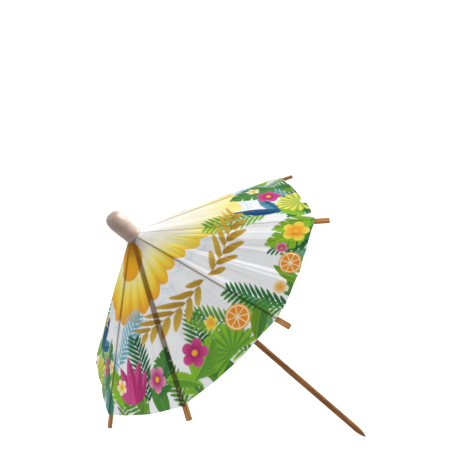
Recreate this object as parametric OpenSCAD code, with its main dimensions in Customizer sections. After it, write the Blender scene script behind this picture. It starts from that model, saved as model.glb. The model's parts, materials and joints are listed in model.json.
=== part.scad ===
// Cocktail umbrella pick: a paper parasol on a sharpened wooden pick, open, point down.
// Millimetres. Z runs up the pick. Z = 0 is where the sharpened point meets the round shaft.
// Eight ribs hang on a wire ring in the crown, eight struts on another in the runner, and
// each strut is pinned to its rib as far out as it is long, so crown, rib pin and runner
// make an isosceles triangle and the runner stays on the pick through the whole fold.

/* [Pick] */
// Length of the sharpened point below the round shaft
point_len = 4; // [2.5:0.5:8]
// Diameter of the blunt end of the point
tip_d = 0.4; // [0.2:0.05:0.6]
// Diameter of the round shaft that is pushed into the garnish
shaft_d = 1.65; // [1.3:0.05:1.8]
// Length of the full round shaft, from the point up to the shoulder
shaft_len = 31; // [15:0.5:31.5]
// Length of the gentle shoulder above the shaft
shoulder_len = 1.2; // [0.8:0.1:1.6]
// Diameter of the upper length that the runner and the ring slide on
slide_d = 1.55; // [1.2:0.05:1.65]

/* [Opening] */
// Height of the rib pivots above the start of the shaft
hub_z = 87; // [83:0.5:98]
// Distance of the rib and strut pivots from the middle of the pick
pivot_r = 2.3; // [2.2:0.05:2.6]
// Angle between each rib and the pick when the umbrella is open
open_angle = 57; // [56:1:64]

/* [Ribs] */
// Length of a rib from its pivot to its tip
rib_len = 43.5; // [41:0.5:50]
// Width of a rib
rib_w = 1.2; // [1.05:0.05:1.35]
// Thickness of a rib
rib_t = 0.7; // [0.6:0.05:0.75]
// Width of the narrow tongue that enters the crown
rib_tongue_w = 0.7; // [0.5:0.05:0.75]
// Length of the tongue, from the pivot to the full width
rib_tongue_len = 2; // [1.8:0.1:2.6]
// Length of the sloping shoulder where the tongue widens
rib_neck_len = 0.6; // [0.4:0.1:1]
// Bevel on the corners of the rib's free end
rib_bevel = 0.15; // [0.05:0.05:0.25]

/* [Struts] */
// Length of a strut between its pivots, and the place of its pin along the rib
strut_len = 17; // [15:0.5:17]
// Width of a strut
strut_w = 0.9; // [0.7:0.05:1]
// Thickness of a strut
strut_t = 0.5; // [0.4:0.05:0.5]
// Width of the tongues at both ends of a strut
strut_tongue_w = 0.45; // [0.35:0.05:0.5]
// Length of the tongue that enters the runner
strut_foot_len = 1.6; // [1.4:0.1:2.2]
// Length of the tongue that enters the slit in the rib
strut_head_len = 2.9; // [2.8:0.1:3.6]

/* [Wires and pins] */
// Diameter of the binding wires in the crown and the runner
wire_d = 0.3; // [0.2:0.02:0.32]
// Diameter of the pin between a rib and its strut
pin_d = 0.24; // [0.18:0.02:0.26]
// Diameter of the flattened ends of that pin
pin_head_d = 0.42; // [0.36:0.02:0.5]
// Thickness of the flattened ends
pin_head_t = 0.08; // [0.05:0.01:0.12]

/* [Crown] */
// Diameter of the slotted crown that carries the ribs
crown_d = 5.8; // [5.7:0.1:6.4]
// Depth of the crown below the rib pivots
crown_drop = 1.4; // [1:0.1:1.5]
// Bevel round the bottom edge of the crown
crown_bevel = 0.3; // [0.1:0.05:0.4]

/* [Runner] */
// Diameter of the slotted runner that carries the struts
runner_d = 5.8; // [5.7:0.1:6.4]
// Height of the runner above the strut pivots
runner_rise = 0.9; // [0.6:0.1:1]
// Depth of the runner below the strut pivots
runner_drop = 3.4; // [2.4:0.1:4]
// Diameter of the runner's turned lower neck
runner_neck_d = 4.4; // [4:0.1:4.8]
// Height of that neck
runner_neck_len = 1.5; // [1:0.1:1.8]

/* [Paper sleeve] */
// Height of the rolled paper strip below the runner
sleeve_len = 5; // [4:0.5:6]
// Thickness of the strip
strip_t = 0.1; // [0.08:0.01:0.12]
// Distance from one turn of the strip to the next
strip_pitch = 0.22; // [0.2:0.01:0.24]
// Number of turns in the roll
strip_turns = 5; // [3:1:6]

/* [Retaining ring] */
// Diameter of the ring that holds the umbrella open
ring_d = 3.2; // [2.8:0.1:3.8]
// Height of the ring
ring_len = 2; // [1.5:0.1:2.2]
// Rounding of the ring's outer edges
ring_round = 0.4; // [0.2:0.05:0.5]

/* [Cap] */
// Height from the cap's lower rim to its top
cap_len = 8.2; // [8:0.1:9.5]
// Diameter of the cap's rounded head
cap_d = 4.6; // [4.5:0.1:5]
// Diameter of the cap's waist
cap_waist_d = 4.1; // [3.8:0.05:4.2]
// Diameter of the small lip at the cap's lower rim
cap_lip_d = 4.5; // [4.4:0.05:4.8]
// Rounding of the cap's top
cap_round = 1.7; // [1.2:0.1:2]
// Depth of the solid top above the end of the pick
cap_roof = 2; // [1.5:0.1:3]

/* [Canopy] */
// Thickness of the canopy paper
paper_t = 0.12; // [0.1:0.01:0.16]
// Slant length of the paper from its peak to its rim
paper_slant = 43.4; // [40:0.1:43.7]
// Gap between the top of a rib and the fold line over it
paper_lift = 0.25; // [0.22:0.01:0.35]
// Radius of the fixed centre of the paper, glued on the crown
collar_r = 2.85; // [2.7:0.05:2.9]
// Distance along a rib from its pivot to the first moving paper
paper_from = 0.95; // [0.9:0.05:1.3]
// Width at the rim of the soft crease between two ribs
crease_w = 4.1; // [4:0.1:6]
// Gap along the paper's fold lines
fold_gap = 0.1; // [0.08:0.01:0.14]

/* [Hidden] */
// Every piece in its own node

// Smoothness of the round pieces
round_fn = 48;
// Smoothness of wires, pins and their holes
wire_fn = 20;
// Steps along the rounded point
point_steps = 8;
// Straight pieces along the rim of half a gore
rim_steps = 6;
// Straight pieces in one turn of the rolled strip
strip_steps = 24;
// Ribs round the crown, one for each rib node
rib_count = 8;
rib_step = 360 / rib_count;

// Running clearance of a wire or pin in its hole, and of what slides on the pick
run_gap = 0.03;
// Clearance of a tongue in its slot, on each side
slot_gap = 0.06;
// Gap between pieces that are glued or seated on each other
seat_gap = 0.03;
// How far a cut runs past the surface it cuts
overrun = 1;
// Overlap of the shapes joined in one piece
weld = 0.05;
// Wood left round each pivot hole at the end of a rib or strut
eye_wall = 0.24;

// Lean of an open rib below the horizontal
rib_lean = 90 - open_angle;
// Height of the strut pivots on the runner, from the isosceles triangle
runner_z = hub_z - 2 * strut_len * cos(open_angle);
// A straight hole on a round wire also needs room for the wire's bow across the widest tongue
wire_hole_r = wire_d / 2 + run_gap + pow(rib_tongue_w / 2, 2) / (2 * pivot_r);
pin_hole_r = pin_d / 2 + run_gap;
rib_eye_r = max(wire_hole_r + eye_wall, rib_t / 2);
strut_eye_r = max(pin_hole_r, wire_hole_r) + eye_wall / 2;

// Height of the fold lines above the rib's middle line, and where they meet on the pick
fold_rise = rib_t / 2 + paper_lift + paper_t / 2;
paper_peak_z = hub_z + (pivot_r + fold_rise * cos(open_angle)) / tan(open_angle)
    + fold_rise * sin(open_angle);
// Distance from the peak, down the fold line, to the foot of the rib pivot
peak_to_pivot = (pivot_r + fold_rise * cos(open_angle)) / sin(open_angle);
// Angle of half a gore measured flat, and how far it leans down from the fold line
half_gore = asin(sin(open_angle) * sin(rib_step / 2));
gore_tilt = atan(cos(open_angle) * tan(rib_step / 2));
// Angle between the middle of a gore and the pick
gore_angle = atan(tan(open_angle) * cos(rib_step / 2));
// Vertical thickness of the paper on its slope
paper_v = paper_t / sin(open_angle);
// Place of the first moving paper, measured from the peak
paper_in = peak_to_pivot + paper_from;

// Height of the paper's middle surface over a rib and over the middle of a gore
function ridge_z(r) = paper_peak_z - r / tan(open_angle);
function valley_z(r) = paper_peak_z - r / tan(gore_angle);

module at_rib(i) {
    rotate([0, 0, (i - 1) * rib_step])
        translate([pivot_r, 0, hub_z])
            rotate([0, rib_lean, 0])
                children();
}

module at_strut(i) {
    rotate([0, 0, (i - 1) * rib_step])
        translate([pivot_r, 0, runner_z])
            rotate([0, -rib_lean, 0])
                children();
}

module at_fold(i, side) {
    rotate([0, 0, (i - 1) * rib_step])
        translate([0, 0, paper_peak_z])
            rotate([-side * gore_tilt, rib_lean, 0])
                children();
}

// A cylinder lying across a rib, centred on it
module across(r, w) {
    rotate([90, 0, 0])
        cylinder(r = r, h = w, center = true, $fn = wire_fn);
}

// The round wire that all the tongues of one collar hang on
module wire_loop(z) {
    translate([0, 0, z])
        rotate_extrude($fn = round_fn)
            translate([pivot_r, 0])
                circle(d = wire_d, $fn = wire_fn);
}

// Section of the turned groove that the wire lies in
module wire_groove(z) {
    translate([pivot_r - wire_hole_r, z - wire_hole_r])
        square([crown_d + runner_d, 2 * wire_hole_r]);
}

// Slots for the tongues, open at the rim and at one end of the piece
module pivot_slots(z_low, z_high, inner_r, w) {
    for (i = [0 : rib_count - 1])
        rotate([0, 0, i * rib_step])
            translate([inner_r, -w / 2, z_low])
                cube([crown_d + runner_d, w, z_high - z_low]);
}

// One revolved outline: rounded point, shaft, shoulder and the length that the runner slides on
module pick() {
    color("peru")
        rotate_extrude($fn = round_fn)
            polygon(concat(
                [[0, -point_len]],
                [for (k = [0 : point_steps])
                    let (t = k / point_steps)
                    [tip_d / 2 + (shaft_d - tip_d) / 2 * (1 - pow(1 - t, 2)), -point_len * (1 - t)]],
                [[shaft_d / 2, shaft_len]],
                [[slide_d / 2, shaft_len + shoulder_len]],
                [[slide_d / 2, pick_top_z]],
                [[0, pick_top_z]]
            ));
}

// Width of the flat rim that the cap rests on
cap_wall = 0.1;
// The cap seats on the ridges of the paper centre, inside that rim
cap_rim_z = ridge_z(cap_lip_d / 2 - cap_wall) + paper_v / 2 + seat_gap;
cap_top_z = cap_rim_z + cap_len;
pick_top_z = cap_top_z - cap_roof;
cap_bore_r = slide_d / 2 + seat_gap;

// Head, waist and lip in one revolved outline, hollowed to a cone that clears the paper
module cap() {
    lip_h = (cap_lip_d - cap_waist_d) / 2;
    waist_z = cap_rim_z + cap_len / 3;
    head_z = cap_top_z - cap_round;
    swell = 12;
    color("rosybrown")
        difference() {
            rotate_extrude($fn = round_fn)
                polygon(concat(
                    [[0, cap_rim_z], [cap_lip_d / 2, cap_rim_z]],
                    [[cap_lip_d / 2, cap_rim_z + lip_h]],
                    [for (k = [0 : swell])
                        let (t = k / swell)
                        [cap_waist_d / 2 + (cap_d - cap_waist_d) / 2 * (1 - cos(180 * t)) / 2
                            + (lip_h / 2) * pow(1 - t, 4),
                         waist_z - (waist_z - cap_rim_z - 2 * lip_h)
                            + t * (head_z - cap_rim_z - 2 * lip_h)]],
                    [for (k = [1 : swell])
                        let (a = 90 * k / swell)
                        [cap_d / 2 - cap_round * (1 - cos(a)), head_z + cap_round * sin(a)]],
                    [[0, cap_top_z]]
                ));
            translate([0, 0, cap_rim_z - overrun])
                cylinder(r = cap_bore_r, h = pick_top_z + seat_gap - cap_rim_z + overrun,
                    $fn = round_fn);
            translate([0, 0, cap_rim_z])
                cylinder(r1 = cap_lip_d / 2 - cap_wall, r2 = cap_bore_r,
                    h = ridge_z(cap_bore_r) - ridge_z(cap_lip_d / 2), $fn = round_fn);
        }
}

// Slotted ring of teeth under a conical deck that the paper is glued to
module crown() {
    bore_r = slide_d / 2 + seat_gap;
    low_z = hub_z - crown_drop;
    rise = paper_v / 2 + seat_gap;
    color("burlywood")
        difference() {
            rotate_extrude($fn = round_fn)
                difference() {
                    polygon([
                        [bore_r, low_z],
                        [crown_d / 2 - crown_bevel, low_z],
                        [crown_d / 2, low_z + crown_bevel],
                        [crown_d / 2, valley_z(crown_d / 2) - rise],
                        [bore_r, valley_z(bore_r) - rise]
                    ]);
                    wire_groove(hub_z);
                }
            pivot_slots(low_z - overrun, hub_z + rib_eye_r + slot_gap,
                pivot_r - rib_eye_r - slot_gap, rib_tongue_w + 2 * slot_gap);
        }
}

module crown_wire() {
    color("silver")
        wire_loop(hub_z);
}

// Eight-sided cone along the paper's slope, moved up by dz and reaching past the collar's rim
module paper_cone(dz) {
    base_r = collar_r + overrun;
    translate([0, 0, ridge_z(base_r) + dz])
        cylinder(r1 = base_r, r2 = 0, h = ridge_z(0) - ridge_z(base_r), $fn = rib_count);
}

// Fixed centre of the canopy: a thin eight-sided cone of paper between crown and cap
module canopy_collar() {
    hole_r = slide_d / 2 + seat_gap;
    rim_z = ridge_z(collar_r) - paper_v / 2;
    color("gold")
        difference() {
            intersection() {
                paper_cone(paper_v / 2);
                translate([0, 0, rim_z])
                    cylinder(r = collar_r, h = cap_top_z - rim_z, $fn = rib_count);
            }
            paper_cone(-paper_v / 2);
            cylinder(r = hole_r, h = cap_top_z, $fn = round_fn);
        }
}

// Slotted collar that slides on the pick, with a turned neck for the rolled strip
module runner() {
    bore_r = slide_d / 2 + run_gap;
    low_z = runner_z - runner_drop;
    top_z = runner_z + runner_rise;
    color("burlywood")
        difference() {
            rotate_extrude($fn = round_fn)
                difference() {
                    polygon([
                        [bore_r, low_z],
                        [runner_neck_d / 2, low_z],
                        [runner_neck_d / 2, low_z + runner_neck_len],
                        [runner_d / 2, low_z + runner_neck_len + (runner_d - runner_neck_d) / 4],
                        [runner_d / 2, top_z],
                        [bore_r, top_z]
                    ]);
                    wire_groove(runner_z);
                }
            pivot_slots(runner_z - strut_eye_r - slot_gap, top_z + overrun,
                pivot_r - strut_eye_r - slot_gap, strut_tongue_w + 2 * slot_gap);
        }
}

module runner_wire() {
    color("silver")
        wire_loop(runner_z);
}

sleeve_top_z = runner_z - runner_drop - seat_gap;
strip_in_r = slide_d / 2 + run_gap + strip_t / 2;

// One strip of paper rolled round the pick, with the spiral open at both ends
module paper_sleeve() {
    steps = strip_turns * strip_steps;
    color("lightgray")
        translate([0, 0, sleeve_top_z - sleeve_len])
            linear_extrude(height = sleeve_len)
                polygon(concat(
                    [for (k = [0 : steps]) strip_point(k, -strip_t / 2)],
                    [for (k = [steps : -1 : 0]) strip_point(k, strip_t / 2)]
                ));
}

// A point of the roll's outline: its radius grows by one pitch a turn
function strip_point(k, side) =
    let (r = strip_in_r + strip_pitch * k / strip_steps + side,
         a = 360 * k / strip_steps)
    [r * cos(a), r * sin(a)];

ring_top_z = sleeve_top_z - sleeve_len - seat_gap;

module retaining_ring() {
    in_r = shaft_d / 2 + run_gap;
    color("whitesmoke")
        translate([0, 0, ring_top_z - ring_len])
            rotate_extrude($fn = round_fn)
                difference() {
                    translate([in_r, 0])
                        square([ring_d / 2 - in_r, ring_len]);
                    for (z = [0, ring_len])
                        translate([ring_d / 2, z])
                            difference() {
                                square(2 * ring_round, center = true);
                                translate([-ring_round, z > 0 ? -ring_round : ring_round])
                                    circle(r = ring_round, $fn = wire_fn);
                            }
                }
}

// A rib seen from above: tongue, widening neck, long blade and bevelled tip
module rib(i) {
    blade_x = rib_tongue_len + rib_neck_len;
    color("peru")
        at_rib(i)
            difference() {
                union() {
                    across(rib_eye_r, rib_tongue_w);
                    translate([0, 0, -rib_t / 2])
                        linear_extrude(height = rib_t)
                            polygon([
                                [0, -rib_tongue_w / 2],
                                [rib_tongue_len, -rib_tongue_w / 2],
                                [blade_x, -rib_w / 2],
                                [rib_len - rib_bevel, -rib_w / 2],
                                [rib_len, -rib_w / 2 + rib_bevel],
                                [rib_len, rib_w / 2 - rib_bevel],
                                [rib_len - rib_bevel, rib_w / 2],
                                [blade_x, rib_w / 2],
                                [rib_tongue_len, rib_tongue_w / 2],
                                [0, rib_tongue_w / 2]
                            ]);
                }
                across(wire_hole_r, rib_w + overrun);
                translate([strut_len, 0, 0])
                    across(pin_hole_r, rib_w + overrun);
                translate([strut_len - slit_back, -slit_w / 2, -rib_t])
                    cube([slit_back + slit_ahead, slit_w, 2 * rib_t]);
            }
}

// The slit lets the strut lie almost along the rib when the umbrella is shut
slit_w = strut_tongue_w + 2 * slot_gap;
slit_back = strut_eye_r + strut_t;
slit_ahead = strut_head_len - strut_eye_r;

module strut(i) {
    foot_x = strut_foot_len;
    head_x = strut_len - strut_head_len;
    flare = (strut_w - strut_tongue_w) / 2;
    color("sienna")
        at_strut(i)
            difference() {
                union() {
                    across(strut_eye_r, strut_tongue_w);
                    translate([strut_len, 0, 0])
                        across(strut_eye_r, strut_tongue_w);
                    translate([0, 0, -strut_t / 2])
                        linear_extrude(height = strut_t)
                            polygon([
                                [0, -strut_tongue_w / 2],
                                [foot_x, -strut_tongue_w / 2],
                                [foot_x + flare, -strut_w / 2],
                                [head_x - flare, -strut_w / 2],
                                [head_x, -strut_tongue_w / 2],
                                [strut_len, -strut_tongue_w / 2],
                                [strut_len, strut_tongue_w / 2],
                                [head_x, strut_tongue_w / 2],
                                [head_x - flare, strut_w / 2],
                                [foot_x + flare, strut_w / 2],
                                [foot_x, strut_tongue_w / 2],
                                [0, strut_tongue_w / 2]
                            ]);
                }
                across(wire_hole_r, strut_w + overrun);
                translate([strut_len, 0, 0])
                    across(pin_hole_r, strut_w + overrun);
            }
}

// Wire pin through rib and strut, flattened over at both sides of the rib
module strut_pin(i) {
    color("silver")
        at_rib(i)
            translate([strut_len, 0, 0]) {
                across(pin_d / 2, rib_w + 2 * (seat_gap + weld));
                for (side = [-1, 1])
                    translate([0, side * (rib_w / 2 + seat_gap + pin_head_t / 2), 0])
                        across(pin_head_d / 2, pin_head_t);
            }
}

// Reach of the soft crease from the middle of the gore to each moving half
crease_rim = crease_w / 2 + fold_gap;

// Half a gore, flat: from the fold line over a rib to the soft crease
module gore_half(i, side) {
    rim_angle = half_gore - asin(crease_rim / paper_slant);
    fold_angle = asin(fold_gap / paper_slant);
    in_angle = half_gore - asin(fold_gap / paper_in);
    color(side > 0 ? "lightgreen" : "palegreen")
        at_fold(i, side)
            translate([0, 0, -paper_t / 2])
                linear_extrude(height = paper_t)
                    polygon(concat(
                        [[paper_in, side * fold_gap]],
                        [for (k = [0 : rim_steps])
                            let (a = fold_angle + (rim_angle - fold_angle) * k / rim_steps)
                            paper_slant * [cos(a), side * sin(a)]],
                        [paper_in * [cos(in_angle), side * sin(in_angle)]]
                    ));
}

// The strip of paper in the middle of a gore that bends as its two halves close together
module crease(i) {
    long = paper_slant - paper_in;
    start = paper_in + long * crease_start_share;
    half = crease_w / 2 * crease_start_share;
    rim_angle = asin(crease_w / 2 / paper_slant);
    color("khaki")
        rotate([0, 0, (i - 0.5) * rib_step])
            translate([0, 0, paper_peak_z])
                rotate([0, 90 - gore_angle, 0])
                    translate([0, 0, -paper_t / 2])
                        linear_extrude(height = paper_t)
                            polygon(concat(
                                [[start, half], [start, -half]],
                                [for (k = [-2 : 2])
                                    let (a = rim_angle * k / 2)
                                    paper_slant * [cos(a), sin(a)]]
                            ));
}
// Share of the gore's length where the crease is too narrow to need paper of its own
crease_start_share = 0.12;

pick();
cap();
crown();
crown_wire();
canopy_collar();
runner();
runner_wire();
paper_sleeve();
retaining_ring();
for (i = [1 : rib_count]) {
    rib(i);
    strut(i);
    strut_pin(i);
    gore_half(i, 1);
    gore_half(i, -1);
    crease(i);
}
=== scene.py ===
# %% [markdown]
# # A paper cocktail umbrella on its pick
# A drink's parasol is a round stick with a point, a knob on top, and eight split-wood ribs
# that hang in a slotted crown. A printed paper shade is glued over the ribs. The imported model
# holds the sticks and joints at their real size; this file dresses it: the paper and its print,
# the knob, the grain of the wood, and the light of a small product studio.

# %% The frame
import json
import math

import bmesh
import bpy
import numpy as np
from mathutils import Matrix, Vector


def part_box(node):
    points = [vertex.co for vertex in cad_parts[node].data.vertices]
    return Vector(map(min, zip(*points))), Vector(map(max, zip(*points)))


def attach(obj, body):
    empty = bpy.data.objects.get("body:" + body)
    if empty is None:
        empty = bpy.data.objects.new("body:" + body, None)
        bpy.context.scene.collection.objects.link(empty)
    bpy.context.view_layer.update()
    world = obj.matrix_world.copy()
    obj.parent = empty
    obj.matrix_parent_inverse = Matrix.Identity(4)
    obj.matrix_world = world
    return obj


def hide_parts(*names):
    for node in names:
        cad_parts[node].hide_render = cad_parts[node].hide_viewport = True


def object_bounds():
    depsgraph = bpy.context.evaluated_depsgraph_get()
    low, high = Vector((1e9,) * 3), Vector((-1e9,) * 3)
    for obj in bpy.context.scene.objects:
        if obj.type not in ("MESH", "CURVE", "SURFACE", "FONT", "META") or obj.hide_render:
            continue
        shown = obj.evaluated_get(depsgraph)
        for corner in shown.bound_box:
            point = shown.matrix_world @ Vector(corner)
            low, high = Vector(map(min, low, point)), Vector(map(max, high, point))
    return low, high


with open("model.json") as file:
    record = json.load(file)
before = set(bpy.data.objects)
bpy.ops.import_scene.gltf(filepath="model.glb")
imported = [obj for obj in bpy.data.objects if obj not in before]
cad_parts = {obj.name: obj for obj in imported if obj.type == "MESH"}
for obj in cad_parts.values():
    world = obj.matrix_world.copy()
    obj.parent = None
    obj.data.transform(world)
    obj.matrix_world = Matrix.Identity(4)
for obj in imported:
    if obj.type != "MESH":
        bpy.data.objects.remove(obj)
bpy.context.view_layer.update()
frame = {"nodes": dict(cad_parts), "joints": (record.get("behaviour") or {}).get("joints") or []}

MM = 0.001
nodes = frame["nodes"]
joints = {j["name"]: j for j in frame["joints"]}

# %% [markdown]
# ## Where the paper lies
# Each half of a gore swings about the fold line over its rib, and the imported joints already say
# where those lines run: they all start at one peak on the pick. Reading peak, rib directions
# and the paper's reach from the frame means the sheet can't drift away from the sticks.


# %% Peak, ribs and gores
def node_points(name):
    """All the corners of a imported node, as an array of points in metres."""
    return np.array([v.co for v in nodes[name].data.vertices], float)


def unit(vector):
    """The vector at length one."""
    return vector / np.linalg.norm(vector)


RIBS = 8
SPAN = 2 * math.pi / RIBS
peak = np.array(joints["paper_left_1"]["pos_m"])
rib_way = [unit(np.array(joints[f"paper_left_{i + 1}"]["axis"])) for i in range(RIBS)]
middle_way = [unit(rib_way[i] + rib_way[(i + 1) % RIBS]) for i in range(RIBS)]
half_gore = math.acos(float(rib_way[0] @ middle_way[0]))
FULL_TURN = 2 * RIBS * half_gore
slant = float(np.linalg.norm(node_points("gore_left_1") - peak, axis=1).max())
print("half a gore is", round(math.degrees(half_gore), 2), "degrees")
print("the slant is", round(slant / MM, 2), "mm")


# %% [markdown]
# ## One surface helper
# Every new piece is a grid of points from a formula. A grid keeps the mesh even, so that the
# print can sit on its points as a colour attribute and the folds can be real relief.


# %% Grid to mesh
def grid_piece(name, points, closed=False, flip=False, uv=None):
    """Four-sided faces over points[row, column]; closed joins the last column to the first."""
    rows, columns = points.shape[:2]
    index = np.arange(rows * columns).reshape(rows, columns)
    if closed:
        index = np.concatenate([index, index[:, :1]], axis=1)
    corners = [index[:-1, :-1], index[:-1, 1:], index[1:, 1:], index[1:, :-1]]
    quads = np.stack(corners[::-1] if flip else corners, axis=-1).reshape(-1, 4)
    mesh = bpy.data.meshes.new(name)
    mesh.vertices.add(rows * columns)
    mesh.vertices.foreach_set("co", points.astype(np.float32).ravel())
    mesh.loops.add(quads.size)
    mesh.loops.foreach_set("vertex_index", quads.astype(np.int32).ravel())
    mesh.polygons.add(len(quads))
    mesh.polygons.foreach_set("loop_start", np.arange(0, quads.size, 4, dtype=np.int32))
    mesh.update(calc_edges=True)
    mesh.validate()
    mesh.shade_smooth()
    if uv is not None:
        layer = mesh.uv_layers.new(name="flat")
        layer.data.foreach_set("uv", uv.reshape(-1, 2)[quads.ravel()].astype(np.float32).ravel())
    piece = bpy.data.objects.new(name, mesh)
    bpy.context.scene.collection.objects.link(piece)
    return piece


def smooth_step(x, low, high):
    """0 below low, 1 above high, and a soft S between them."""
    t = np.clip((x - low) / (high - low), 0, 1)
    return t * t * (3 - 2 * t)


# %% [markdown]
# ## The folds of the paper
# Thin paper that has been folded shut and opened again never lies flat. Between two ribs it
# keeps a soft W: high at the ribs and at the old crease in the middle, low between them. One
# gore was creased harder, and straight slopes run between its sharp fold lines. Fine gathers
# radiate from the crown, a few stray folds run down each gore, and hair-fine creases lie
# between them. Cloth simulation would soften all of these; written as one height over the flat
# gore they stay crisp, match along every cut, and the halves still close face to face.

# %% Numbers of the folds
NECK = 3.0 * MM
FLAT_EDGE = 0.9 * MM
PLEAT_FROM = 5 * MM
PLEAT_FULL_AT = 20 * MM
PLEAT_DEPTH = 0.62 * MM
PLEAT_SHARES = np.array((0.9, 1.1, 0.8, 1.0, 0.75, 0.7, 1.8, 0.7))
RIM_EASE = 0.5
GATHER_HEIGHT = 0.055 * MM
GATHER_AT = 8.5 * MM
GATHER_REACH = 5.5 * MM
GATHERS = 7
GATHER_TURN = 40
STRAY_FOLDS = 7
STRAY_HEIGHT = 0.15 * MM
STRAY_ENDS = (8 * MM, 10 * MM)
HAIR_FOLDS = 34
HAIR_HEIGHT = 0.045 * MM
SHARP_GORE = 6
SHARP_DEPTH_AT = 30 * MM
SHARP_FROM = (6 * MM, 17 * MM)
# Places across that gore and heights there as shares of the depth, from one rib to the next
SHARP_FOLDS = np.array((
    (-1.00, 0.00), (-0.90, 0.02), (-0.66, 0.50), (-0.34, -0.28), (-0.28, -0.20),
    (-0.24, -0.26), (-0.09, 0.20), (0.00, 0.00), (0.19, -0.48), (0.34, -0.26),
    (0.47, -0.62), (0.62, -0.50), (0.66, -0.54), (0.90, -0.10), (1.00, 0.00),
)).T

# %% Where the folds lie, by seeded draws
FOLD_SEED = 11
strays, hairs = (RIBS, STRAY_FOLDS), (RIBS, HAIR_FOLDS)
fold_draw = np.random.default_rng(FOLD_SEED)
pleat_lean = fold_draw.uniform(-0.45, 0.45, RIBS)
gather_phase = fold_draw.uniform(0, 2 * math.pi, RIBS)
stray_at = fold_draw.uniform(-0.85, 0.85, strays)
stray_height = fold_draw.uniform(-1, 1, strays)
stray_width = fold_draw.uniform(0.55, 1.5, strays) * MM
stray_start = fold_draw.uniform(0.05, 0.35, strays) * slant
stray_end = fold_draw.uniform(0.6, 1.15, strays) * slant
hair_at = fold_draw.uniform(-0.97, 0.97, hairs)
hair_height = fold_draw.choice((-1.0, -0.6, 0.7), hairs)
hair_width = fold_draw.uniform(0.22, 0.40, hairs) * MM
hair_start = fold_draw.uniform(0.1, 0.55, hairs) * slant
hair_long = fold_draw.uniform(0.25, 0.6, hairs) * slant


# %% Pleats, hair folds and gathers
def pleat(gore, g):
    """Depth of the pleat across a gore: a power of the sine of pi g, deeper towards one rib; the
    one gore that was creased hard follows straight slopes between its fold lines."""
    if gore == SHARP_GORE:
        return -np.interp(g, *SHARP_FOLDS)
    return np.abs(np.sin(np.pi * g)) ** 0.85 * (1 + pleat_lean[gore] * g)


def hair_folds(gore, s, g):
    """Height and shape of each hair-fine fold: a gaussian across it and half a sine along it."""
    for k in range(HAIR_FOLDS):
        across = (g - hair_at[gore, k]) * s * math.sin(half_gore) / hair_width[gore, k]
        along = np.clip((s - hair_start[gore, k]) / hair_long[gore, k], 0, 1)
        yield hair_height[gore, k], np.exp(-across * across) * np.sin(np.pi * along)


def gathers(gore, s, g):
    """Waves across the gore whose height swells and dies away down the slant, near the crown."""
    swell = np.exp(-(((s - GATHER_AT) / GATHER_REACH) ** 2)) * smooth_step(s, NECK, PLEAT_FROM)
    wave = 2 * np.pi * GATHERS * g + gather_phase[gore] + GATHER_TURN * (s - NECK)
    return swell * (0.5 + 0.5 * np.sin(wave))


# %% Height of the paper over a flat gore
def paper_height(gore, s, g):
    """Height above the flat gore: minus a W-shaped pleat, plus fine gathers near the crown, plus
    gaussian folds along rays, a few broad and many as fine as a hair; all of it dies out at the
    ribs and at the middle crease. s runs down the slant; g is -1 and 1 at the ribs, 0 between."""
    half_width = s * math.sin(half_gore)
    near_rib = np.clip((1 - np.abs(g)) * half_width / FLAT_EDGE, 0, 1)
    near_middle = np.clip(np.abs(g) * half_width / FLAT_EDGE, 0, 1)
    grow = np.clip((s - PLEAT_FROM) / (PLEAT_FULL_AT - PLEAT_FROM), 0, 1)
    ease = 1 - RIM_EASE * smooth_step(s, 0.6 * slant, slant)
    if gore == SHARP_GORE:
        grow, ease = s / SHARP_DEPTH_AT, smooth_step(s, *SHARP_FROM)
    height = -PLEAT_DEPTH * PLEAT_SHARES[gore] * grow * ease * pleat(gore, g)
    height = height + GATHER_HEIGHT * gathers(gore, s, g)
    for k in range(STRAY_FOLDS):
        across = (g - stray_at[gore, k]) * half_width / stray_width[gore, k]
        first, last = stray_start[gore, k], stray_end[gore, k]
        along = smooth_step(s, first, first + STRAY_ENDS[0])
        fade = 1 - 0.8 * smooth_step(s, last - STRAY_ENDS[1], last)
        fold = STRAY_HEIGHT * stray_height[gore, k] * np.exp(-across * across)
        height = height + fold * along * fade
    for size, shape in hair_folds(gore, s, g):
        height = height + HAIR_HEIGHT * size * shape
    return height * near_rib * near_middle


def crease_shade(gore, s, g):
    """0 to 1 where painted shade lies along an old crease: in the hair folds that run downwards,
    and in the hollows between the gathers."""
    mark = 0.4 * gathers(gore, s, g)
    for size, shape in hair_folds(gore, s, g):
        if size < 0:
            mark = np.maximum(mark, -size * shape)
    return mark


# %% From the flat gore to its place
def gore_place(rib, side, angle):
    """The gore on that side of a rib, and g there: 0 in its middle, -1 or 1 on the rib."""
    gore = rib if side > 0 else (rib - 1) % RIBS
    return gore, (angle / half_gore - 1) * side


def gore_points(rib, side, s, angle):
    """Points of the half gore beside a rib: peak, plus s along the ray that leaves the rib by
    angle within the gore's plane, plus the paper's height along that plane's outward normal."""
    gore, g = gore_place(rib, side, angle)
    along = rib_way[rib]
    across = unit(middle_way[gore] - along * (along @ middle_way[gore]))
    outward = np.cross(along, across) * side
    ray = np.cos(angle)[..., None] * along + np.sin(angle)[..., None] * across
    return peak + s[..., None] * ray + paper_height(gore, s, g)[..., None] * -outward


# %% [markdown]
# ## The print
# The shade is printed flat and cut out as a disc, so the pattern is painted in the paper's own
# flat coordinates: s down the slant and psi round the unrolled cone. Each motif is a distance
# to an outline, soft over a tenth of a millimetre, laid over what is there. It is a made-up
# tropical border: lance leaves, ferns, fan leaves, simple blossoms and citrus slices round a
# warm sunburst with a scalloped edge and one plain disc, and an open gold wreath on the white.

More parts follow.
